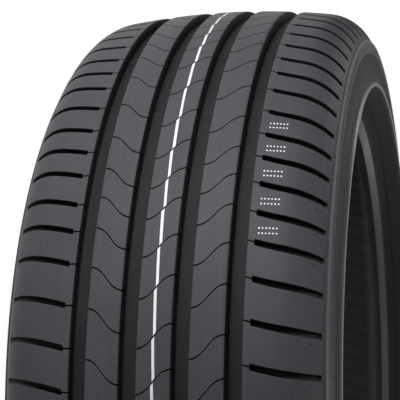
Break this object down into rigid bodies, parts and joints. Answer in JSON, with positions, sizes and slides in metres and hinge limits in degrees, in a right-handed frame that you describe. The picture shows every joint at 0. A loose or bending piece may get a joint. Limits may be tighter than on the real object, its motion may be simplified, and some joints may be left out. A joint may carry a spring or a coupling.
{
  "type": "car tyre",
  "caption": "Radial car tyre off its rim: straight grooves, slotted shoulders, a guard ring on each sidewall, and beads that seat on a wheel rim.",
  "frame": {"origin": "centre of the tyre, on its axle, midway between the sidewalls", "axes": "+Z along the axle, upwards as the tyre lies on its sidewall"},
  "size_m": [0.6369, 0.637, 0.23],
  "materials": {
    "rubber": "matte moulded rubber",
    "marking": "matte marking paint"
  },
  "bodies": {
    "root": {"tyre": "rubber"}
  },
  "joints": []
}
